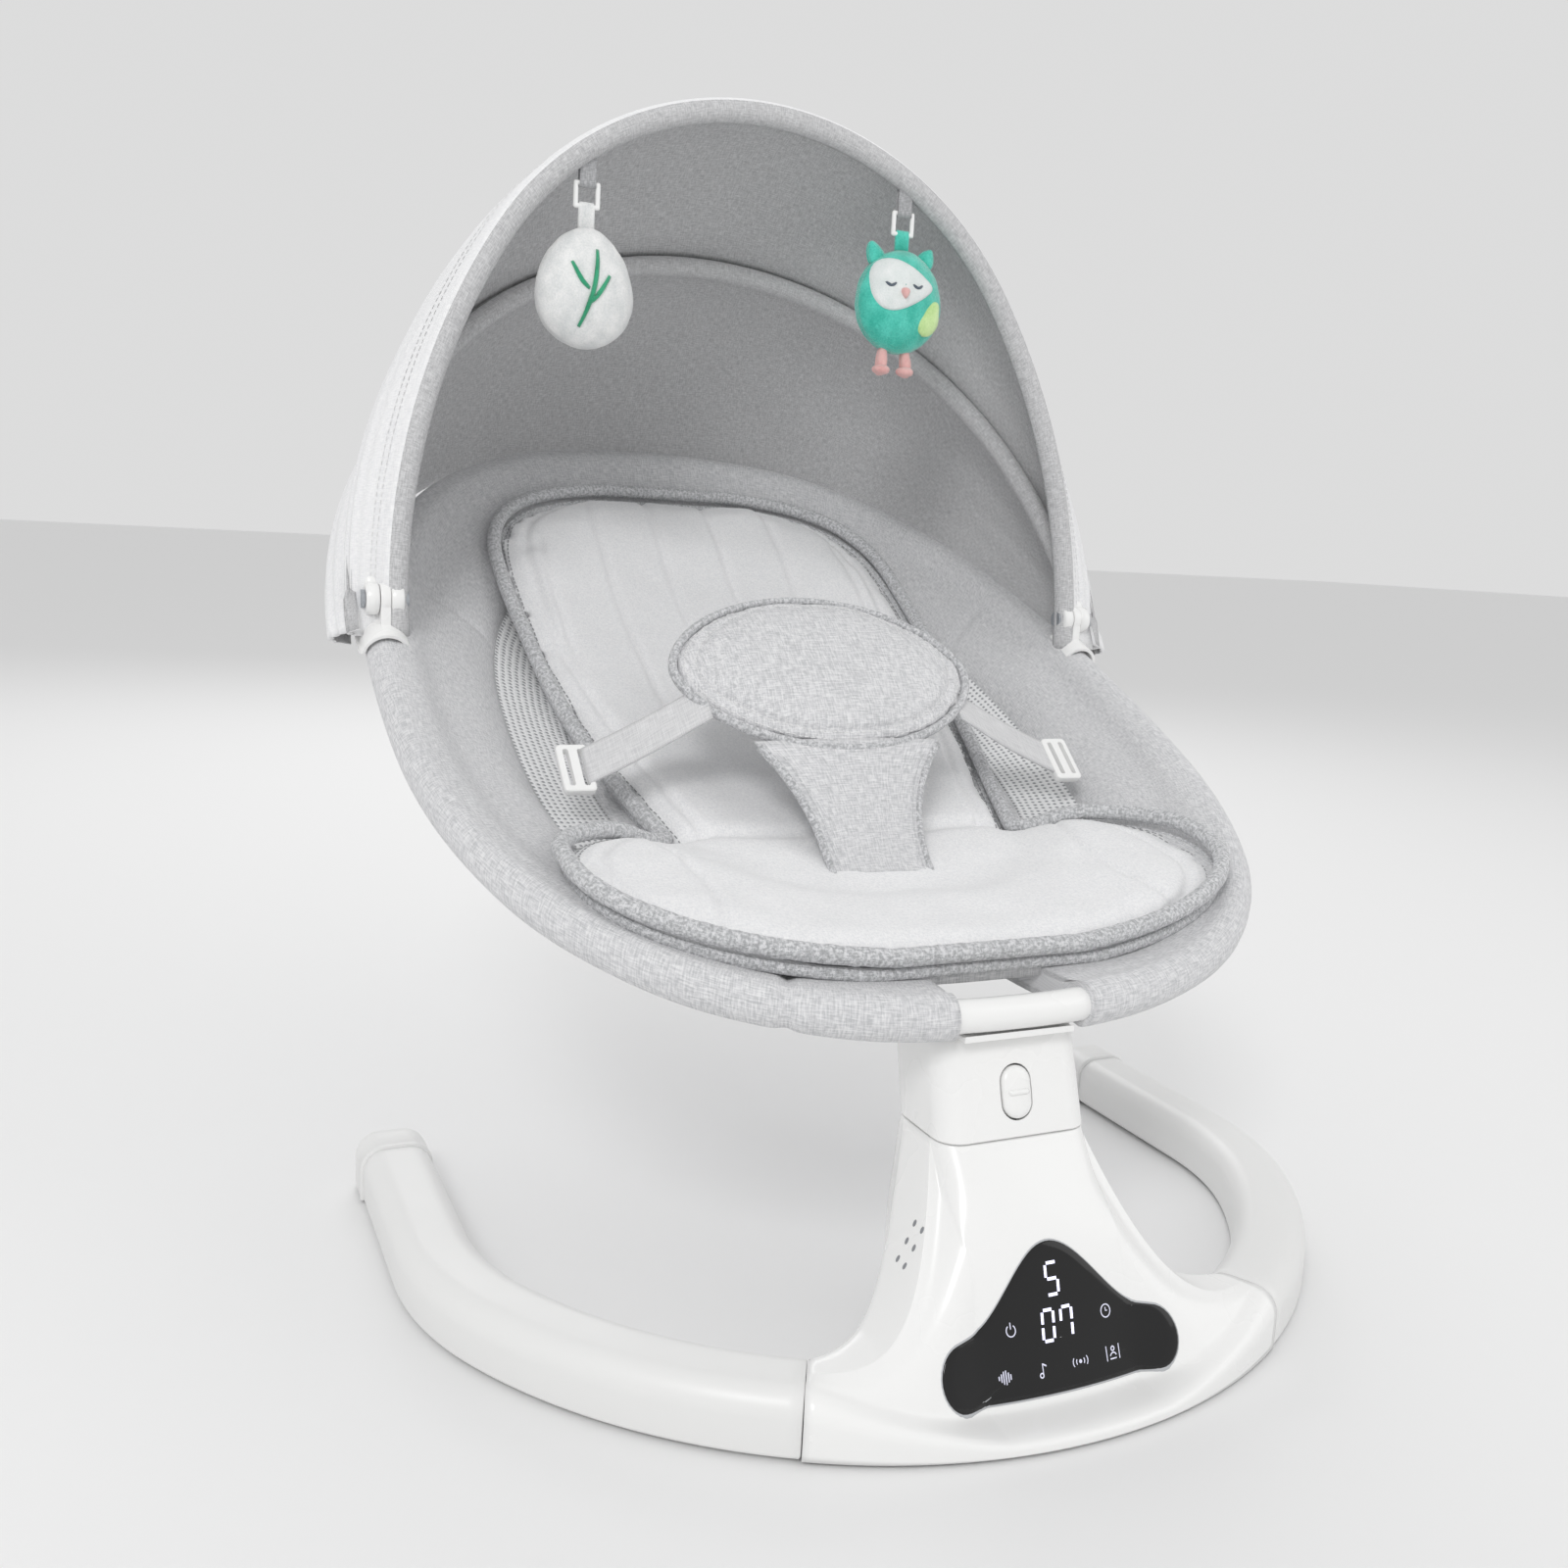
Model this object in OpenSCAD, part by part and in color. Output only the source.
// Electric baby swing: a C-shaped floor base with a flared front housing, a swinging neck, a padded
// ring seat with a folding canopy, and two hanging soft toys. Millimetres, +Z up, front towards -Y.
// The origin is on the floor, on the swing's vertical axis.

/* [Base] */
// Overall width of the base across its two arms
base_w = 520; // [470:1:560]
// Swing axis forward to the front edge of the base
base_front = 100; // [94:1:112]
// Swing axis back to the widest part of the base
wide_y = 125; // [110:1:150]
// Swing axis back to the open ends of the arm tubes
arm_reach = 238; // [190:1:300]
// Radius of the bend at each side
bend_r = 170; // [150:1:185]
// Width of the arm section
arm_w = 37; // [32:1:44]
// Height of the arm section
arm_h = 29; // [26:1:36]
// Wall of the moulded arms and housings
wall = 2.5; // [2:0.1:3]
// Gap under the shells that the rubber pads fill
pad_h = 2; // [1.5:0.5:4]
// Length of the end cap on each arm
cap_l = 30; // [22:1:40]

/* [Column and neck] */
// Half width of the column's flat front
col_half = 40.7; // [39:0.5:48]
// Height of the parting line between column and neck
col_top = 108; // [102:1:130]
// Column's front face at the parting line, forward of the swing axis
col_front = 24; // [23:1:30]
// Column's back face, behind the swing axis
col_back = 27; // [25:1:34]
// Half width between the seams with the two arms
seam_x = 127; // [115:1:135]
// Height of the neck housing
neck_h = 46; // [40:1:56]
// How far the neck leans back over its height
neck_lean = 14; // [8:1:18]
// Gap between the column and the neck
swing_gap = 0.8; // [0.5:0.1:2]
// Radius of the touch panel's bottom lobes
panel_lobe_r = 13; // [10:0.5:15]
// Half width of the touch panel
panel_half = 63; // [50:1:68]
// Height of the touch panel's top edge
panel_top = 70; // [60:1:76]

/* [Drive] */
// Swing shaft radius
shaft_r = 6; // [5:0.5:8]
// Ball bearing outside radius
bearing_r = 14; // [12:0.5:16]
// Ball bearing width
bearing_w = 8; // [6:1:10]
// Gear module
gear_mod = 1.25; // [1.25:0.25:1.25]
// Teeth of the full circle that the sector gear is cut from
sector_teeth = 48; // [48:1:48]
// Teeth of the motor pinion
pinion_teeth = 12; // [12:1:12]
// Swing to each side, degrees
swing_deg = 12; // [6:1:15]

/* [Seat ring] */
// Half width of the ring's centreline
ring_half = 239; // [215:1:255]
// Ring's front, measured from the swing axis
ring_front = -14; // [-18:1:-10]
// Ring's widest place, measured from the swing axis
ring_mid = 247; // [230:1:265]
// Ring's back, measured from the swing axis
ring_back = 541; // [500:1:570]
// Height of the ring's front centreline
ring_z0 = 166.5; // [164:0.5:190]
// Slope of the ring at its front
ring_slope = 0.402; // [0.3:0.01:0.5]
// Ring tube radius
tube_r = 8; // [7:0.5:9]
// Fabric sleeve radius
sleeve_r = 10.5; // [9.8:0.1:12]
// Half length of the bare tube at the front
bare_half = 35; // [30:1:45]
// Depth of the seat below the ring
seat_depth = 50; // [35:1:70]

/* [Seat fabric] */
// Thickness of the padded rim band
band_t = 12; // [8:1:16]
// Thickness of the mesh and sling panels
panel_t = 3; // [2:0.5:5]
// Thickness of the mat
mat_t = 15; // [10:1:20]
// Width of the tummy pad
tummy_w = 190; // [150:1:220]
// Height of the tummy pad
tummy_h = 113; // [90:1:125]
// Webbing width
web_w = 24; // [18:1:28]

/* [Canopy] */
// Pivot's place behind the swing axis
pivot_y = 300.5; // [290:0.5:310]
// Pivot height above the ring's centreline
pivot_up = 26.5; // [26:0.5:30]
// Front hoop height above its pivot
front_h = 307; // [260:1:330]
// Front hoop's lean behind vertical
front_tilt = 5.65; // [0:0.05:12]
// Middle hoop height above its pivot
mid_h = 266; // [240:1:280]
// Middle hoop's lean behind vertical
mid_tilt = 30.7; // [28:0.1:34]
// Hoop rod radius
rod_r = 5; // [4:0.5:5.5]
// Pivot pin radius
pin_r = 3; // [2.5:0.5:4]
// Canopy cloth thickness
cloth_t = 2; // [1.5:0.5:3]

/* [Toys] */
// Angle along the front hoop at which the egg toy hangs
egg_deg = 35.8; // [25:0.1:42]
// Angle along the front hoop at which the bird toy hangs
bird_deg = 29.35; // [25:0.05:42]
// Length of each toy's strap below the hoop
strap_l = 12; // [10:1:16]
// Height of the egg toy
egg_h = 74; // [60:1:85]
// Width of the egg toy
egg_w = 60; // [50:1:70]
// Height of the bird toy's body
bird_h = 68; // [55:1:80]
// Width of the bird toy's body
bird_w = 66; // [50:1:72]

/* [Hidden] */
$fn = 48;

white = "#f2f2f0";
light_grey = "#c9c9c9";
dark_grey = "#5a5d60";
steel = "#b9bcc0";

fit = 0.3;                 // running clearance between moulded pieces
arm_r = 12;                // corner radius of the arm section
arm_top = pad_h + arm_h;
base_half = base_w / 2;
base_depth = wide_y + base_front;
// The front arc is tangent to both side arcs.
front_r = (pow(base_half - bend_r, 2) + pow(base_depth, 2) - pow(bend_r, 2)) / (2 * (base_depth - bend_r));
front_cy = front_r - base_front;
side_cx = base_half - bend_r;
join_deg = atan2(front_cy - wide_y, side_cx);     // where front and side arcs meet, below +X
seam_deg = asin(seam_x / front_r);                // seam's angle from straight ahead
tongue_deg = 2.5;                                 // length of the arm's tongue in the housing
neck_z0 = col_top + swing_gap;
neck_z1 = neck_z0 + neck_h;
gear_z = 52;
gear_w = 8;
axis_dist = gear_mod * (sector_teeth + pinion_teeth) / 2;
motor_dir = -36.87;                               // direction of the motor from the shaft
motor_x = axis_dist * cos(motor_dir);
motor_y = axis_dist * sin(motor_dir);
ring_n = 2.45;                                    // fullness of the ring's outline
ring_bow = 0.000121;                              // upward bow of the ring per mm squared
pivot_z = ring_height(pivot_y) + pivot_up;
pivot_x = ring_half * pow(1 - pow((pivot_y - ring_mid) / (ring_back - ring_mid), ring_n), 1 / ring_n) + 0.6;
blade_t = 5.6;                                    // bracket blade between the two hubs
hub_t = 7.4;
hub_r = 9;
front_a = pivot_x - blade_t / 2 - 0.4 - hub_t / 2;
mid_a = pivot_x + blade_t / 2 + 0.4 + hub_t / 2;
band_s = 1 - (sleeve_r + 3.6) / ring_half;        // rim band's outer edge, as a share of the ring
mesh_s = 0.72;
sling_s = 0.56;
mesh_from = -24;                                  // side meshes' span round the ring, degrees
mesh_to = 38;
front_side_r = 1.3 * front_h;                     // radius of the hoops' side arcs
mid_side_r = 1.13 * mid_h;
clip_l = 13;
clip_r = 1.5;

// ---------- helpers ----------
function lerp(a, b, t) = a + (b - a) * t;
function sgnpow(v, p) = sign(v) * pow(abs(v), p);
function unit(v) = v / norm(v);

// Height of the seat ring's centreline at y
function ring_height(y) = ring_z0 + ring_slope * (y - ring_front) + ring_bow * pow(y - ring_front, 2);
// Point on the ring at angle t, from +X towards the head, grown outwards or scaled by s
function ring_at(t, grow = 0, s = 1) =
  let (half = sin(t) < 0 ? ring_mid - ring_front : ring_back - ring_mid,
       x = s * (ring_half + grow) * sgnpow(cos(t), 2 / ring_n),
       y = ring_mid + s * (half + grow) * sgnpow(sin(t), 2 / ring_n))
  [x, y, ring_height(y)];
// How far out a point lies: 0 in the middle of the seat, 1 on the ring
function share(x, y) =
  let (half = y < ring_mid ? ring_mid - ring_front : ring_back - ring_mid)
  pow(pow(abs(x) / ring_half, ring_n) + pow(abs(y - ring_mid) / half, ring_n), 1 / ring_n);
// Height of the seat's upper cloth surface
function seat_z(x, y) = ring_height(y) - seat_depth * (1 - pow(min(share(x, y), 1), 2.2)) - 1;

// Radius of a hoop's top arc, tangent to its side arcs
function top_radius(a, h, side_r) = (pow(side_r, 2) - pow(side_r - a, 2) - pow(h, 2)) / (2 * (side_r - h));
// Height of a hoop above its pivot at the place x, before it leans back
function hoop_up(a, h, side_r, x) =
  let (r = top_radius(a, h, side_r), meet = atan2(h - r, side_r - a), dx = abs(x) - a + side_r)
  abs(x) <= r * cos(meet) ? h - r + sqrt(r * r - x * x) : sqrt(max(0, side_r * side_r - dx * dx));
function leaned(x, up, tilt) = [x, pivot_y + up * sin(tilt), pivot_z + up * cos(tilt)];
// Point at angle t on the line g outside a hoop
function arch(a, h, side_r, tilt, g, t) =
  let (x = (a + g) * cos(t)) leaned(x, hoop_up(a + g, h + g, side_r + g, x), tilt);
// Front hoop's centre above the place x
function hoop_over(x) = leaned(x, hoop_up(front_a, front_h, front_side_r, x), front_tilt);

// Skin of closed loops; each loop turns clockwise seen from the far end
module skin(loops) {
  n = len(loops);
  m = len(loops[0]);
  sides = [for (i = [0:n - 2], k = [0:m - 1])
    [i * m + k, i * m + (k + 1) % m, (i + 1) * m + (k + 1) % m, (i + 1) * m + k]];
  polyhedron([for (l = loops) each l],
    concat([for (q = sides) each [[q[0], q[1], q[2]], [q[0], q[2], q[3]]]],
      [[for (k = [m - 1:-1:0]) k]], [[for (k = [0:m - 1]) (n - 1) * m + k]]));
}
// Round tube of radius r along an open path
function tube_loops(path, r, ref, sides) = [for (i = [0:len(path) - 1])
  let (n = len(path), t = unit(path[min(i + 1, n - 1)] - path[max(i - 1, 0)]),
       n1 = unit(cross(t, ref)), n2 = unit(cross(n1, t)))
  [for (k = [0:sides - 1]) path[i] + r * (cos(360 * k / sides) * n1 + sin(360 * k / sides) * n2)]];
module tube_along(path, r, ref = [0, 0, 1], sides = 12) { skin(tube_loops(path, r, ref, sides)); }
// Closed ring of the same section
module tube_ring(path, r, ref = [0, 0, 1], sides = 12) {
  n = len(path);
  loops = [for (i = [0:n - 1])
    let (t = unit(path[(i + 1) % n] - path[(i + n - 1) % n]), n1 = unit(cross(t, ref)), n2 = unit(cross(n1, t)))
    [for (k = [0:sides - 1]) path[i] + r * (cos(360 * k / sides) * n1 + sin(360 * k / sides) * n2)]];
  quads = [for (i = [0:n - 1], k = [0:sides - 1])
    [i * sides + k, i * sides + (k + 1) % sides, ((i + 1) % n) * sides + (k + 1) % sides, ((i + 1) % n) * sides + k]];
  polyhedron([for (l = loops) each l], [for (q = quads) each [[q[0], q[1], q[2]], [q[0], q[2], q[3]]]]);
}
// Solid between an upper and a lower grid of points
module slab(top, bottom, wrap = false) {
  m = len(top);
  n = len(top[0]);
  function t(i, j) = i * n + j % n;
  function b(i, j) = m * n + t(i, j);
  last = wrap ? n - 1 : n - 2;
  quads = concat(
    [for (i = [0:m - 2], j = [0:last]) [t(i, j), t(i, j + 1), t(i + 1, j + 1), t(i + 1, j)]],
    [for (i = [0:m - 2], j = [0:last]) [b(i + 1, j), b(i + 1, j + 1), b(i, j + 1), b(i, j)]],
    [for (j = [0:last]) [b(0, j), b(0, j + 1), t(0, j + 1), t(0, j)]],
    [for (j = [0:last]) [t(m - 1, j), t(m - 1, j + 1), b(m - 1, j + 1), b(m - 1, j)]],
    wrap ? [] : [for (i = [0:m - 2]) [t(i, 0), t(i + 1, 0), b(i + 1, 0), b(i, 0)]],
    wrap ? [] : [for (i = [0:m - 2]) [b(i, n - 1), b(i + 1, n - 1), t(i + 1, n - 1), t(i, n - 1)]]);
  polyhedron(concat([for (r = top) each r], [for (r = bottom) each r]),
    [for (q = quads) each [[q[0], q[1], q[2]], [q[0], q[2], q[3]]]]);
}
module mirrored(side) { if (side < 0) mirror([1, 0, 0]) children(); else children(); }

// ---------- base ----------
// Section of an arm, outer edge at x = 0, shrunk by g
function arm_corner(r, a0) = [for (i = [0:4]) let (a = a0 + 22.5 * i) r * [cos(a), sin(a)]];
function arm_section(g = 0) =
  let (x0 = -arm_w + g, z0 = pad_h + g, z1 = arm_top - g, r = max(arm_r - g, 1))
  concat([[-g, z0]], [for (p = arm_corner(r, 0)) p + [-g - r, z1 - r]],
    [for (p = arm_corner(r, 90)) p + [x0 + r, z1 - r]], [[x0, z0]]);
// Stations along an arm: centre of the bend, its radius and the direction outwards
seam_a = -90 + seam_deg;
function arc_stations(c, r, a0, a1, n) = [for (i = [0:n]) let (a = lerp(a0, a1, i / n)) [c, r, a]];
function arm_stations(a0, y_end) = concat(arc_stations([0, front_cy], front_r, a0, -join_deg, 9),
  arc_stations([side_cx, wide_y], bend_r, -join_deg + 4, 0, 8), [[[side_cx, y_end], bend_r, 0]]);
function arm_loop(s, g) = [for (p = arm_section(g))
  [s[0][0] + (s[1] + p[0]) * cos(s[2]), s[0][1] + (s[1] + p[0]) * sin(s[2]), p[1]]];
// Closed sweep that steps from section g0 to g1 at the angle step
module arm_sweep(a0, g0, step, g1, y_end) {
  start = [[0, front_cy], front_r];
  skin(concat([for (a = [a0, step]) arm_loop([start[0], start[1], a], g0)],
    [for (s = arm_stations(step, y_end)) arm_loop(s, g1)]));
}
seam_gap_deg = 0.1;
module arm(side) {
  tongue_g = 2 * wall + 9 * fit;
  color(light_grey) mirrored(side) difference() {
    arm_sweep(seam_a - tongue_deg, tongue_g, seam_a + seam_gap_deg, 0, arm_reach);
    arm_sweep(seam_a - tongue_deg - 1, tongue_g + wall, seam_a + 1, wall, arm_reach + 1);
  }
}
module arm_left() { arm(-1); }
module arm_right() { arm(1); }

cap_proud = 1.4;
module arm_cap(side) {
  lap = 14;
  color(white) mirrored(side) translate([base_half, arm_reach + cap_l - lap, 0]) rotate([90, 0, 0])
    difference() {
      intersection() {
        linear_extrude(cap_l) polygon(arm_section(-cap_proud));
        translate([-arm_w - 5, pad_h, -1]) cube([arm_w + 10, arm_h + 10, cap_l + 2]);
      }
      translate([0, 0, cap_l - lap]) linear_extrude(lap + 1) polygon(arm_section(-0.15));
    }
}
module arm_cap_left() { arm_cap(-1); }
module arm_cap_right() { arm_cap(1); }

// Front housing: stations across the width, each an upright closed outline from front to back
inner_r = front_r - arm_w;
seam_in = [inner_r * sin(seam_deg), front_cy - inner_r * cos(seam_deg)];
function station_x(i) = i <= 5 ? col_half * i / 5 : lerp(col_half, seam_x, pow((i - 5) / 9, 1.4));
function ridge_z(x) = x <= col_half ? col_top
  : arm_top + (col_top - arm_top) * pow((seam_x - x) / (seam_x - col_half), 2.6);
function outer_pt(x) = [x, front_cy - sqrt(pow(front_r, 2) - x * x)];
function inner_pt(x) = let (w = max(0, (x - col_half) / (seam_x - col_half)))
  [lerp(min(x, col_half), seam_in[0], w), lerp(seam_in[1], col_back, pow(1 - w, 2.2))];
corner_r = 12;
function corner(x) = let (c = x - (col_half - corner_r))
  c <= 0 ? 0 : x <= col_half ? corner_r - sqrt(max(0, corner_r * corner_r - c * c))
  : corner_r * pow((seam_x - x) / (seam_x - col_half), 3);
lip_z = pad_h + 2 * wall + 0.5;
face_d = base_front - 76;                         // front edge to the foot of the sloping face
face_top_d = base_front - 50;
face_top_z = 70;
col_front_d = base_front - col_front;
// Outline of the middle station: [distance from the front edge, height]
function mid_outline(len) = [[0, pad_h], [0, lip_z - 2.5], [1.5, lip_z - 0.8], [6, lip_z], [face_d - 4, lip_z + 0.6],
  [face_d, lip_z + 2.5], [lerp(face_d, face_top_d, 0.5), 41], [face_top_d, face_top_z],
  [lerp(face_top_d, col_front_d, 0.5), 90], [col_front_d - 1, col_top - 1], [col_front_d, col_top],
  [len - 6, col_top], [len - 2.5, col_top - 0.5], [len - 0.8, col_top - 2.5], [len, col_top - 6],
  [len, 60], [len, pad_h]];
function seam_outline(len) = let (z = arm_top, r = arm_r) [[0, pad_h], [0, z - r], [r * 0.076, z - r * 0.617],
  [r * 0.293, z - r * 0.293], [r * 0.617, z - r * 0.076], [r, z], [r + 2, z], [r + 4, z], [r + 5, z], [r + 6, z],
  [r + 7, z], [len - r, z], [len - r * 0.617, z - r * 0.076], [len - r * 0.293, z - r * 0.293],
  [len - r * 0.076, z - r * 0.617], [len, z - r], [len, pad_h]];
mid_len = base_front + col_back;
// Outline at x, drawn inwards by g, with its two feet sunk below the shell's foot
function station(x, g, sink = 0) =
  let (ax = abs(x), e = outer_pt(ax), n = inner_pt(ax), len = norm(n - e), dir = (n - e) / len,
       w = max(0, (ax - col_half) / (seam_x - col_half)), m = pow(w, 1.25), h = ridge_z(ax),
       a = mid_outline(mid_len), b = seam_outline(len))
  [for (i = [0:len(a) - 1])
    let (za = a[i][1] <= 13 ? a[i][1] : 13 + (a[i][1] - 13) * (h - 13) / (col_top - 13),
         ca = i < 8 ? 0 : i < 11 ? corner(ax) : -corner(ax),
         da = a[i][0] * len / mid_len + ca * (i < 15 ? 1 : 0.3),
         d0 = lerp(da, b[i][0], m), z0 = lerp(za, b[i][1], m),
         d = g + d0 * (len - 2 * g) / len,
         z = z0 <= pad_h ? pad_h - sink : max(pad_h + 0.5, z0 - g),
         p = e + dir * d)
    [sign(x == 0 ? 1 : x) * p[0], p[1], z]];
station_xs = [for (i = [-14:14]) sign(i) * station_x(abs(i))];
// Solid form of the housing drawn inwards by g
module housing_form(g) { skin([for (x = station_xs) station(x, g, g > 0 ? 1 : 0)]); }
// Hollow form, open underneath and at the two seams
module housing_shell() {
  skin([for (x = station_xs) let (inside = station(x, wall))
    concat(station(x, 0), [for (i = [len(inside) - 1:-1:0]) inside[i]])]);
}
// Outline of the touch panel seen from the front
panel_z0 = lip_z + 3.5;
module panel_outline(grow) {
  r = panel_lobe_r + grow;
  c = panel_half - panel_lobe_r;
  zc = panel_z0 + panel_lobe_r;
  flank = [for (i = [-12:12]) let (u = i / 12)
    [u * c, zc + r + (panel_top - zc - panel_lobe_r) * (1 + cos(180 * u)) / 2]];
  polygon(concat([for (i = [0:6]) let (a = 180 + 15 * i) [-c + r * cos(a), zc + r * sin(a)]],
    [for (i = [0:6]) let (a = 270 + 15 * i) [c + r * cos(a), zc + r * sin(a)]],
    [for (i = [1:5]) let (a = 15 * i) [c + r * cos(a), zc + r * sin(a)]],
    [for (i = [12:-1:-12]) flank[i + 12]],
    [for (i = [1:5]) let (a = 90 + 15 * i) [-c + r * cos(a), zc + r * sin(a)]]));
}
module panel_prism(grow) {
  translate([0, -20, 0]) rotate([90, 0, 0]) linear_extrude(base_front - 22) panel_outline(grow);
}
panel_t0 = 1.8;
module front_housing() {
  color(white) difference() {
    housing_shell();
    panel_prism(fit);
    translate([0, 0, col_top - 20]) cylinder(h = 40, r = 17);
    translate([0, col_back - 8, dc_z]) rotate([-90, 0, 0]) cylinder(h = 20, r = 6.3);
    // Sound holes over the speaker
    for (i = [0:2], k = [0:1]) translate([-52 - 7 * i, -46 + 6 * k, 20]) cylinder(h = 60, r = 1.3);
  }
}
module touch_panel() {
  color("#101012") intersection() {
    panel_prism(0);
    difference() {
      housing_form(0);
      housing_form(panel_t0);
    }
  }
}
module base_cover() {
  xs = [for (i = [-13:13]) sign(i) * station_x(abs(i))];
  front_g = wall + 4;                             // clear of the lip's rounded foot
  back_g = wall + 2.5;
  pts = concat([for (x = xs) outer_pt(x) + [0, front_g]], [for (i = [26:-1:0])
    let (p = inner_pt(abs(xs[i])), in = abs(xs[i]) > col_half - 1 ? back_g : 0)
    [sign(xs[i]) * (p[0] - in), p[1] - back_g]]);
  color(light_grey) difference() {
    translate([0, 0, pad_h]) linear_extrude(wall) polygon(pts);
    for (p = cover_holes) translate([p[0], p[1], 0]) cylinder(h = 10, r = 2);
  }
}
cover_holes = [[-80, -54], [80, -54], [-34, 18], [34, 18], [0, -58]];
module cover_screws() {
  color(steel) for (p = cover_holes) translate([p[0], p[1], 0]) {
    translate([0, 0, pad_h - 1.2]) cylinder(h = 1.2, r = 3.6);
    translate([0, 0, pad_h]) cylinder(h = wall, r = 1.9);
  }
}
pad_places = [[0, 0], [-base_half + arm_w / 2, arm_reach + 3], [base_half - arm_w / 2, arm_reach + 3],
  [-base_half + arm_w / 2, wide_y], [base_half - arm_w / 2, wide_y],
  [-90, outer_pt(90)[1] + arm_w / 2], [90, outer_pt(90)[1] + arm_w / 2]];
module rubber_pads() {
  color(dark_grey) for (p = pad_places) translate([p[0], p[1], 0]) cylinder(h = pad_h, r = 11);
}

// ---------- electrics in the base ----------
dc_z = 42;
module dc_socket() {
  color("#202022") translate([0, col_back - 14, dc_z]) rotate([-90, 0, 0]) difference() {
    union() {
      cylinder(h = 14, r = 6);
      translate([-6, -6, 0]) cube([12, 12, 9]);
    }
    translate([0, 0, 4]) cylinder(h = 11, r = 3.2);
  }
}
module control_board() {
  color("#2c6e49") translate([0, -50, 38]) rotate([-24, 0, 0]) {
    cube([70, 1.6, 44], center = true);
    translate([0, -1.8, 2]) cube([30, 2, 30], center = true);
    translate([18, 3.3, 0]) cube([12, 5, 12], center = true);
    translate([-18, 2.8, -8]) cube([10, 4, 16], center = true);
  }
}
module speaker() {
  color(dark_grey) translate([-60, -42, pad_h + wall + 8]) {
    cylinder(h = 12, r = 14);
    translate([0, 0, 12]) difference() {
      cylinder(h = 3, r = 16);
      translate([0, 0, 1]) cylinder(h = 3, r = 13);
    }
    translate([0, 0, -8]) cylinder(h = 8, r = 9);
  }
}

// ---------- drive ----------
low_z = 24;                      // underside of the lower bearing
high_z = 92;                     // underside of the upper bearing
boss_h = 10;                     // neck base's boss round the shaft
shaft_top = neck_z0 + boss_h - 2;
module shaft_frame() {
  foot_z = pad_h + wall;
  color(light_grey) difference() {
    union() {
      translate([-30, -18, foot_z]) cube([60, 38, low_z + bearing_w - foot_z]);
      translate([-33, -17, high_z - 4]) cube([66, 38, bearing_w + 4]);
      for (x = [-33, 25]) translate([x, 12, foot_z]) cube([8, 9, high_z - foot_z]);
    }
    translate([0, 0, foot_z + 4]) cylinder(h = high_z, r = bearing_r - 4);
    for (z = [low_z, high_z]) translate([0, 0, z]) cylinder(h = bearing_w + 1, r = bearing_r);
    for (x = [-24, 24]) translate([x, 12, 0]) cylinder(h = 14, r = 1.9);
    translate([motor_x, motor_y, foot_z - 1]) cylinder(h = 60, r = 14.6);
  }
}
module frame_screws() {
  color(steel) for (x = [-29, 29]) translate([x, 16.5, high_z + bearing_w]) {
    cylinder(h = 1.5, r = 3.2);
  }
}
module bearing(z) {
  color(steel) translate([0, 0, z]) difference() {
    cylinder(h = bearing_w, r = bearing_r);
    translate([0, 0, -1]) cylinder(h = bearing_w + 2, r = shaft_r + 0.05);
  }
}
module bearing_lower() { bearing(low_z); }
module bearing_upper() { bearing(high_z); }
module swing_shaft() {
  color(steel) {
    translate([0, 0, low_z - 6]) cylinder(h = shaft_top - low_z + 6, r = shaft_r);
  }
}
// Involute outline of a gear with a little backlash
function inv_angle(a) = tan(a) * 180 / PI - a;
function flank(n, r) = let (rp = gear_mod * n / 2, rb = rp * cos(25))
  90 / n - 0.9 * 6 / n + inv_angle(25) - inv_angle(acos(min(1, rb / r)));
module gear_outline(n, turn) {
  rp = gear_mod * n / 2;
  root = rp - 1.15 * gear_mod;
  tip = rp + 0.8 * gear_mod;
  start = max(root, rp * cos(25));
  radii = [root, for (i = [0:4]) lerp(start, tip, i / 4)];
  polygon([for (k = [0:n - 1]) each concat(
    [for (r = radii) let (a = turn + 360 * k / n - flank(n, max(r, start))) [r * cos(a), r * sin(a)]],
    [for (i = [5:-1:0]) let (r = radii[i], a = turn + 360 * k / n + flank(n, max(r, start))) [r * cos(a), r * sin(a)]])]);
}
module sector_gear() {
  reach = 50;
  span = swing_deg + 22;
  color("#e8e6df") translate([0, 0, gear_z]) difference() {
    union() {
      linear_extrude(gear_w) intersection() {
        gear_outline(sector_teeth, motor_dir);
        polygon([[0, 0], [reach * cos(motor_dir - span), reach * sin(motor_dir - span)],
          [reach * cos(motor_dir), reach * sin(motor_dir)],
          [reach * cos(motor_dir + span), reach * sin(motor_dir + span)]]);
      }
      translate([0, 0, -2]) cylinder(h = gear_w + 6, r = 10);
    }
    translate([0, 0, -3]) cylinder(h = gear_w + 8, r = shaft_r);
  }
}
module gear_motor() {
  color(dark_grey) translate([motor_x, motor_y, pad_h + wall]) {
    cylinder(h = 24, r = 12);
    translate([0, 0, 24]) cylinder(h = 14, r = 14);
    translate([0, 0, 38]) cylinder(h = 3, r = 5);
  }
  color(steel) translate([motor_x, motor_y, pad_h + wall + 41]) cylinder(h = gear_z + gear_w - pad_h - wall - 41, r = 2.5);
}
module drive_pinion() {
  color("#e8e6df") translate([motor_x, motor_y, gear_z]) difference() {
    linear_extrude(gear_w) gear_outline(pinion_teeth, motor_dir + 180 + 180 / pinion_teeth);
    translate([0, 0, -1]) cylinder(h = gear_w + 2, r = 2.55);
  }
}

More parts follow.
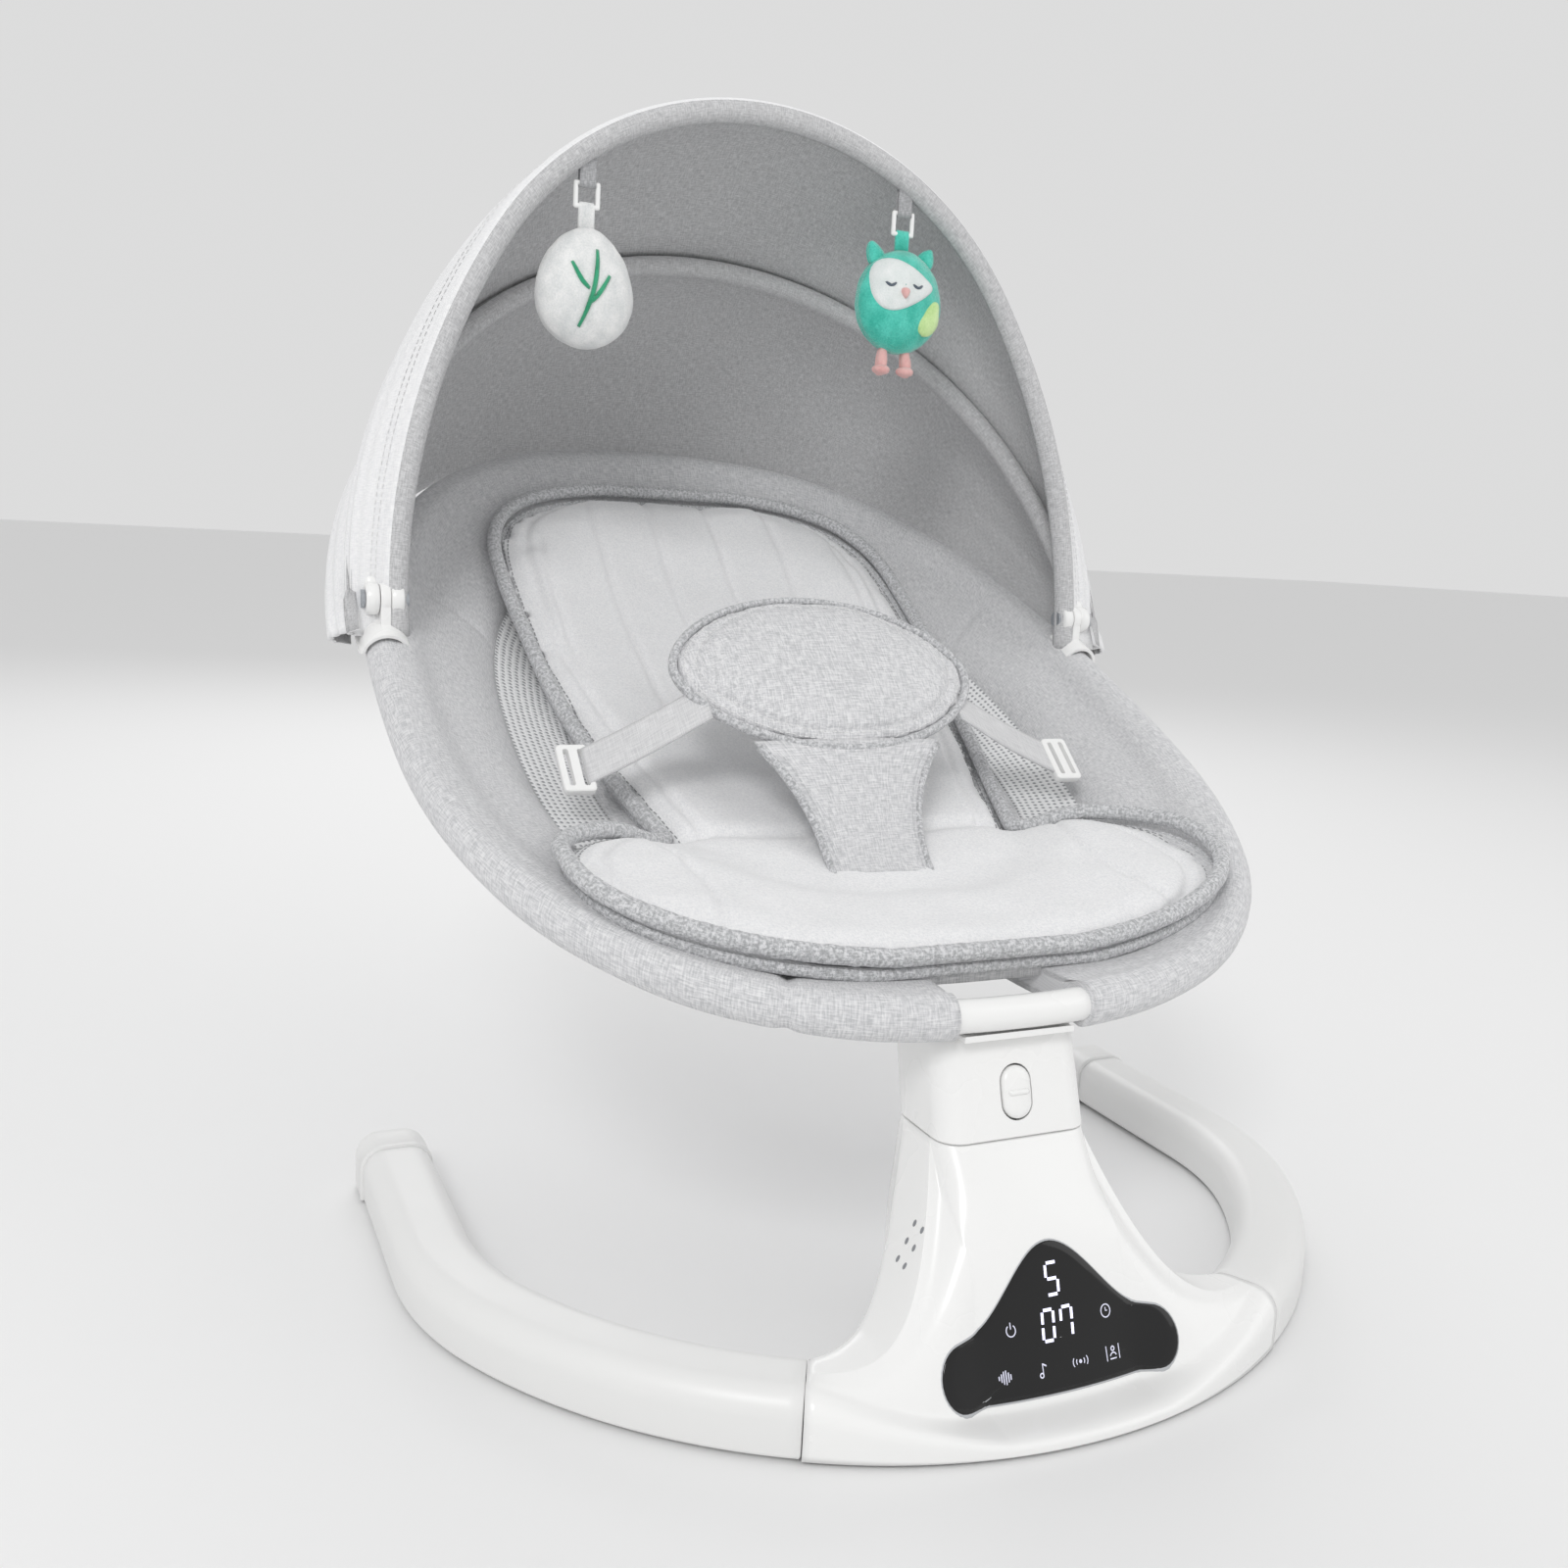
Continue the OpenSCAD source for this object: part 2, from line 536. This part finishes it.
// ---------- neck ----------
// Rounded plate of the neck at height z, drawn inwards by g
module neck_slice(z, g) {
  u = (z - neck_z0) / neck_h;
  hx = col_half - 1.5 * u - g;
  r = corner_r - g;
  translate([0, neck_lean * u, z]) linear_extrude(0.4) hull()
    for (x = [-1, 1], y = [-col_front + g + r, col_back - 1 - g - r]) translate([x * (hx - r), y]) circle(r, $fn = 32);
}
module neck_form(g, z0, z1) {
  hull() {
    neck_slice(z0, g);
    neck_slice(z1 - 0.4, g);
  }
}
button_z = neck_z0 + 20;
button_y = -col_front + neck_lean * 20 / neck_h;
lean_deg = atan(neck_lean / neck_h);
button_w = 16;
button_h = 25;
spring_top = 5;                  // inner face of the button's plate, behind its front
spring_foot = 12.2;
module in_button() { translate([0, button_y, button_z]) rotate([90 - lean_deg, 0, 0]) children(); }
module button_oval(grow, from, to) {
  r = button_w / 2 + grow;
  in_button() translate([0, 0, from]) linear_extrude(to - from) {
    for (y = [-1, 1]) translate([0, y * (button_h - button_w) / 2]) circle(r);
    square([2 * r, button_h - button_w], center = true);
  }
}
module neck_shell() {
  color(white) difference() {
    neck_form(0, neck_z0, neck_z1);
    neck_form(wall, neck_z0 - 1, neck_z1 - wall);
    button_oval(0.4, -8, 8);
    translate([-24, post_y - 8, neck_z1 - 10]) cube([48, 16, 20]);
  }
}
module neck_base() {
  color(white) difference() {
    union() {
      neck_form(wall + fit, neck_z0 + 0.4, neck_z0 + 5);
      cylinder(h = neck_z0 + boss_h, r = 11);
      for (x = [-28, 22]) translate([x, post_y - 8, neck_z0 + 3]) cube([6, 16, 26]);
      // Upright that the button's spring bears on
      in_button() translate([-8, -26, -spring_foot - 3]) cube([16, 32, 3]);
    }
    translate([-60, -60, -1]) cube([120, 120, neck_z0 + 1.4]);
    translate([0, 0, neck_z0 - 1]) cylinder(h = shaft_top - neck_z0 + 1.1, r = shaft_r);
  }
}
module release_button() {
  color(white) {
    button_oval(0, -4, 1.2);
    in_button() {
      translate([-5, -1.5, 1]) cube([10, 3, 2]);
      translate([-10, -10, -spring_top]) cube([20, 20, 1.8]);
    }
  }
}
module button_spring() {
  color(steel) in_button() translate([0, 0, -spring_foot]) difference() {
    cylinder(h = spring_foot - spring_top - 0.05, r = 4.5);
    translate([0, 0, -1]) cylinder(h = 9, r = 3.6);
  }
}

// ---------- seat frame ----------
post_y = 14;
module seat_post() {
  color(white) difference() {
    union() {
      translate([-21, post_y - 6.5, neck_z0 + 18]) cube([42, 13, neck_z1 - neck_z0 - 17.6]);
      translate([-30, ring_front - 4, neck_z1 + 0.4]) cube([60, post_y - ring_front + 12, 5]);
      translate([-30, ring_front - 4, neck_z1 + 0.4]) cube([60, 12, ring_z0 - neck_z1 - 3]);
    }
    translate([-60, ring_front, ring_z0]) rotate([0, 90, 0]) cylinder(h = 120, r = tube_r + 1);
  }
}
ring_steps = 72;
module ring_tube() {
  color(white) tube_ring([for (i = [0:ring_steps - 1]) ring_at(360 * i / ring_steps + 2.5)], tube_r, sides = 12);
}
// The sleeve stops short of the bare front part
function sleeve_angle() = acos(pow(bare_half / ring_half, ring_n / 2));
module ring_sleeve() {
  a0 = -90 + (90 - sleeve_angle());
  path = [for (i = [0:ring_steps]) ring_at(lerp(a0, 360 - 180 - a0, i / ring_steps))];
  color(light_grey) difference() {
    tube_along(path, sleeve_r, sides = 12);
    tube_along([for (i = [0:ring_steps]) ring_at(lerp(a0 - 1, 181 - a0, i / ring_steps))], tube_r + 0.35, sides = 12);
  }
}
// Panel of the seat between two shares of the ring and two angles
module seat_panel(s0, s1, a0, a1, lift, thick, rows, cols) {
  wrap = a1 - a0 >= 360;
  top = [for (i = [0:rows]) [for (j = [0:wrap ? cols - 1 : cols])
    let (p = ring_at(lerp(a0, a1, j / cols), 0, lerp(s0, s1, i / rows)))
    [p[0], p[1], seat_z(p[0], p[1]) + lift]]];
  slab(top, [for (r = top) [for (p = r) p - [0, 0, thick]]], wrap);
}
band_lift = 8;                                   // rim band's top above the seat's surface
seam_s = 0.008;                                  // gap between neighbouring panels, as a share
seam_turn = 0.4;
module rim_band() { color(light_grey) seat_panel(mesh_s, band_s, -90, 270, band_lift, band_t, 3, 64); }
module side_panel(a0, a1, cols) {
  seat_panel(sling_s + seam_s, mesh_s - seam_s, a0 + seam_turn, a1 - seam_turn, 0, panel_t, 2, cols);
}
module mesh_panel_right() { color("#e4e4e4") side_panel(mesh_from, mesh_to, 12); }
module mesh_panel_left() { color("#e4e4e4") side_panel(180 - mesh_to, 180 - mesh_from, 12); }
module foot_panel() { color(light_grey) side_panel(180 - mesh_from, 360 + mesh_from, 24); }
module head_panel() { color(light_grey) side_panel(mesh_to, 180 - mesh_to, 20); }
module seat_sling() { color(light_grey) seat_panel(0.02, sling_s, -90, 270, 0, panel_t, 4, 48); }

// Half width of the mat at y: a broad foot, a narrow waist and a wide head
foot_c = 92;
foot_half = ring_half - 50;
foot_l = 82;
head_c = 400;
head_half = ring_half - 89;
waist_half = ring_half - 127;
mat_back = 498;
function foot_w(y) = foot_half * pow(max(0, 1 - pow(abs(y - foot_c) / foot_l, 2.6)), 1 / 2.2);
function head_w(y) = y < head_c ? lerp(waist_half, head_half, sin(90 * max(0, (y - 165) / (head_c - 165))))
  : head_half * pow(max(0, 1 - pow((y - head_c) / (mat_back - head_c), 2.6)), 1 / 2.4);
module mat_part(ys, w) {
  cols = 14;
  top = [for (y = ys) [for (j = [0:cols]) let (u = 1 - 2 * j / cols, x = w(y) * u)
    [x, y, seat_z(x, y) + band_top(x, y) + 0.8 + mat_t * (1 - pow(abs(u), 6) * 0.6)]]];
  bottom = [for (y = ys) [for (j = [0:cols]) let (x = w(y) * (1 - 2 * j / cols))
    [x, y, seat_z(x, y) + band_top(x, y) + 0.8]]];
  slab(top, bottom);
}
// Lift of the mat where it lies on the rim band
function band_top(x, y) = let (s = share(x, y), up = band_lift + 1)
  up * min(1, max(0, (s - mesh_s + 0.16) / 0.1)) + 4 * min(1, max(0, (s - 0.84) / 0.08));
module liner_mat() {
  foot_y = [for (i = [0:10]) foot_c - foot_l * 0.99 * cos(180 * i / 10)];
  head_y = [for (i = [0:10]) lerp(150, mat_back - 2, sin(9 * i))];
  color("#eeeeee") {
    mat_part(foot_y, function (y) foot_w(y));
    mat_part(head_y, function (y) head_w(y));
  }
}
tummy_c = [0, 208, 301];
tummy_tilt = 43.5;
module tummy_pad() {
  rings = 8;
  steps = 28;
  thick = 11;
  // Lens: each ring is drawn in towards the middle as it rises
  half = [for (i = [0:rings]) let (a = lerp(-90, 90, i / rings)) [cos(a), sin(a)]];
  color(light_grey) translate(tummy_c) rotate([tummy_tilt, 0, 0])
    skin([for (h = half) [for (k = [0:steps - 1]) let (a = 360 * k / steps, s = max(0.02, h[0]))
      [s * tummy_w / 2 * cos(a), -s * tummy_h / 2 * sgnpow(sin(a), 1.15), h[1] * thick]]]);
}
// Crotch piece: runs down from the pad's lower edge to the mat
module crotch_strap() {
  y1 = 120;
  z1 = seat_z(0, y1) + mat_t + 2.6;
  path = [for (i = [0:8]) let (t = i / 8) [lerp(y1, 168, t), z1 + (260 - z1) * pow(t, 1.25)]];
  top = [for (i = [0:8]) let (w = lerp(32, 48, pow(i / 8, 2))) [for (u = [1:-0.5:-1]) [w * u, path[i][0], path[i][1] + 4.5]]];
  color(light_grey) slab(top, [for (r = top) [for (p = r) p - [0, -3, 5]]]);
}
// Waist straps run from the pad's lower corners to the adjusters
adj = [ring_half - 83, 186, 250];
module waist_strap(side) {
  from = [tummy_w / 2 - 15, 190, 286];
  path = [for (i = [0:6]) lerp(adj + [-6, 0, 1], from, i / 6) + [0, 0, 2 * sin(30 * i)]];
  top = [for (p = path) [p + [0, web_w / 2 * 0.74, web_w / 2 * 0.67], p - [0, web_w / 2 * 0.74, web_w / 2 * 0.67]]];
  color("#d8d8d8") mirrored(side) slab([for (r = top) [for (p = r) p + [0, -0.5, 0.5]]],
    [for (r = top) [for (p = r) p + [0, 0.5, -0.5]]]);
}
module waist_strap_left() { waist_strap(-1); }
module waist_strap_right() { waist_strap(1); }
module strap_adjuster(side) {
  color(white) mirrored(side) translate(adj) rotate([42, 0, 0]) difference() {
    translate([-9, -web_w / 2 - 4, -2.5]) cube([18, web_w + 8, 5]);
    for (x = [-6.5, 2]) translate([x, -web_w / 2 - 0.8, -4]) cube([4.5, web_w + 1.6, 8]);
  }
}
module strap_adjuster_left() { strap_adjuster(-1); }
module strap_adjuster_right() { strap_adjuster(1); }

// ---------- canopy ----------
ring_rise = atan(ring_slope + 2 * ring_bow * (pivot_y - ring_front));
module canopy_bracket(side) {
  color(white) mirrored(side) difference() {
    union() {
      translate([pivot_x, pivot_y, pivot_z]) rotate([0, 90, 0]) cylinder(h = blade_t, r = hub_r, center = true);
      translate([pivot_x - blade_t / 2, pivot_y - 8, ring_height(pivot_y)]) cube([blade_t, 16, pivot_up]);
      translate([pivot_x, pivot_y, ring_height(pivot_y)]) rotate([ring_rise - 90, 0, 0])
        cylinder(h = 26, r = sleeve_r + 4, center = true);
    }
    translate([pivot_x, pivot_y, ring_height(pivot_y)]) rotate([ring_rise - 90, 0, 0])
      cylinder(h = 60, r = sleeve_r + 1.8, center = true);
    translate([pivot_x - 30, pivot_y - 40, ring_height(pivot_y) - 54]) cube([60, 80, 50]);
    translate([pivot_x, pivot_y, pivot_z]) rotate([0, 90, 0]) cylinder(h = 40, r = pin_r + 0.05, center = true);
  }
}
module canopy_bracket_left() { canopy_bracket(-1); }
module canopy_bracket_right() { canopy_bracket(1); }
module pivot_screws() {
  inner_x = front_a - hub_t / 2 - 0.4;
  outer_x = mid_a + hub_t / 2 + 0.4;
  color(steel) for (side = [-1, 1]) mirrored(side) translate([0, pivot_y, pivot_z]) rotate([0, 90, 0]) {
    translate([0, 0, inner_x]) cylinder(h = outer_x - inner_x, r = pin_r);
    translate([0, 0, inner_x - 2.5]) cylinder(h = 2.5, r = 5.2);
    translate([0, 0, outer_x]) cylinder(h = 2, r = 5.2);
  }
}
// Hoop of three tangent arcs with an eye at each foot
module hoop(a, h, side_r, tilt) {
  top_r = top_radius(a, h, side_r);
  meet = atan2(h - top_r, side_r - a);
  translate([0, pivot_y, pivot_z]) difference() {
    union() {
      rotate([-tilt, 0, 0]) rotate([90, 0, 0]) {
        for (side = [-1, 1]) mirrored(side) translate([a - side_r, 0, 0])
          rotate_extrude(angle = meet) translate([side_r, 0]) circle(rod_r);
        translate([0, h - top_r, 0]) rotate([0, 0, meet])
          rotate_extrude(angle = 180 - 2 * meet) translate([top_r, 0]) circle(rod_r);
      }
      // Ferrules over the joints of the three arcs
      for (side = [-1, 1]) rotate([-tilt, 0, 0])
        translate([side * (a - side_r + side_r * cos(meet)), 0, side_r * sin(meet)])
          rotate([0, -side * meet, 0]) cylinder(h = 8, r = rod_r + 0.4, center = true);
      for (side = [-1, 1]) translate([side * a, 0, 0]) rotate([0, 90, 0])
        cylinder(h = hub_t, r = hub_r, center = true);
    }
    for (side = [-1, 1]) translate([side * a, 0, 0]) rotate([0, 90, 0])
      cylinder(h = 40, r = pin_r + 0.05, center = true);
    // Rod ends are trimmed flush with the eyes
    for (side = [-1, 1], end = [-1, 1]) translate([side * a + end * (hub_t / 2 + 20), 0, -10])
      rotate([-tilt, 0, 0]) cube([40, 60, 40], center = true);
  }
}
module front_hoop() { color(white) hoop(front_a, front_h, front_side_r, front_tilt); }
module mid_hoop() { color(white) hoop(mid_a, mid_h, mid_side_r, mid_tilt); }

cloth_gap = rod_r + 1;
cloth_from = 5;                                  // where the cloth starts above each pivot, degrees
function front_edge(t) = arch(front_a, front_h, front_side_r, front_tilt, cloth_gap + cloth_t, t);
function mid_edge(t) = arch(mid_a, mid_h, mid_side_r, mid_tilt, cloth_gap + cloth_t + 1.5, t);
function rear_edge(t) = let (p = ring_at(lerp(8, 172, t / 180), sleeve_r + 8)) [p[0], p[1], p[2] - 5];
function from_pivot(p, k) = [p[0] * k, pivot_y + (p[1] - pivot_y) * k, pivot_z + (p[2] - pivot_z) * k];
module cloth(a, b, bulge, rows, cols, t0) {
  top = [for (i = [0:rows]) [for (j = [0:cols]) let (v = i / rows, t = lerp(t0, 180 - t0, j / cols))
    from_pivot(lerp(a(t), b(t), v), 1 + bulge * sin(180 * v) * sin(t))]];
  slab(top, [for (r = top) [for (p = r) from_pivot(p, 1 - cloth_t / norm(p - [0, pivot_y, pivot_z]))]]);
}
module canopy_front_panel() {
  color("#f0f0f0") cloth(function (t) front_edge(t), function (t) mid_edge(t), 0.045, 5, 30, cloth_from);
}
module canopy_rear_panel() {
  color("#f0f0f0") cloth(function (t) from_pivot(mid_edge(t), 1.013), function (t) rear_edge(t), 0.06, 6, 30, cloth_from);
}

// ---------- toys ----------
// Each toy hangs from its strap's top, below the hoop's rod
front_top_r = top_radius(front_a, front_h, front_side_r);
egg_hang = front_top_r * sin(egg_deg);
bird_hang = front_top_r * sin(bird_deg);
strap_top = -rod_r - 6;
clip_top = strap_top - strap_l + 3;
toy_top = clip_top - clip_l - 3;
module under_hoop(x) { translate(hoop_over(x)) children(); }
// Eye round one of the clip's bars
module eye(w, z) {
  translate([-w / 2, 0, z]) rotate([0, 90, 0]) difference() {
    cylinder(h = w, r = clip_r + 1.4);
    translate([0, 0, -1]) cylinder(h = w + 2, r = clip_r + 0.2);
  }
}
module toy_strap(x) {
  color("#b4b4b4") under_hoop(x) {
    translate([-4.5, -1, clip_top + clip_r + 1]) cube([9, 2, strap_top - clip_top - clip_r - 1]);
    eye(9, clip_top);
  }
}
module toy_strap_left() { toy_strap(-egg_hang); }
module toy_strap_right() { toy_strap(bird_hang); }
module toy_clip(x) {
  half = 6.8;
  color(white) under_hoop(x) {
    for (z = [clip_top, clip_top - clip_l]) translate([-half, 0, z]) rotate([0, 90, 0]) cylinder(h = 2 * half, r = clip_r);
    for (side = [-1, 1]) {
      translate([side * half, 0, clip_top - clip_l]) cylinder(h = clip_l, r = clip_r);
      for (z = [clip_top, clip_top - clip_l]) translate([side * half, 0, z]) sphere(clip_r);
    }
  }
}
module toy_clip_left() { toy_clip(-egg_hang); }
module toy_clip_right() { toy_clip(bird_hang); }
module plush(w, h, thick, z_mid) {
  rings = 8;
  steps = 24;
  skin([for (i = [0:rings]) let (a = lerp(-90, 90, i / rings), s = max(0.03, cos(a)))
    [for (k = [0:steps - 1]) let (b = 360 * k / steps, taper = 1 - 0.1 * sin(b))
      [s * w / 2 * cos(b) * taper, sin(a) * thick / 2, z_mid + s * h / 2 * sin(b)]]]);
}
// Tab sewn into a toy's top
module toy_tab() {
  eye(5, clip_top - clip_l);
  translate([-2.5, -1, toy_top - 4]) cube([5, 2, clip_top - clip_l - clip_r - 1 - toy_top + 4]);
}
module egg_toy() {
  color("#f7f7f5") under_hoop(-egg_hang) {
    plush(egg_w, egg_h, 34, toy_top - egg_h / 2);
    toy_tab();
  }
}
module bird_toy() {
  color("#49d0b8") under_hoop(bird_hang) {
    plush(bird_w, bird_h, 34, toy_top - bird_h / 2);
    toy_tab();
    for (x = [-8, 8]) translate([x - 2, -2, toy_top - bird_h - 20]) cube([4, 4, 24]);
  }
}

arm_left();
arm_right();
arm_cap_left();
arm_cap_right();
front_housing();
base_cover();
rubber_pads();
cover_screws();
touch_panel();
control_board();
speaker();
dc_socket();
shaft_frame();
frame_screws();
bearing_lower();
bearing_upper();
swing_shaft();
sector_gear();
gear_motor();
drive_pinion();
neck_base();
neck_shell();
release_button();
button_spring();
seat_post();
ring_tube();
ring_sleeve();
rim_band();
foot_panel();
head_panel();
mesh_panel_left();
mesh_panel_right();
seat_sling();
liner_mat();
tummy_pad();
crotch_strap();
waist_strap_left();
waist_strap_right();
strap_adjuster_left();
strap_adjuster_right();
canopy_bracket_left();
canopy_bracket_right();
pivot_screws();
front_hoop();
mid_hoop();
canopy_front_panel();
canopy_rear_panel();
toy_strap_left();
toy_strap_right();
toy_clip_left();
toy_clip_right();
egg_toy();
bird_toy();
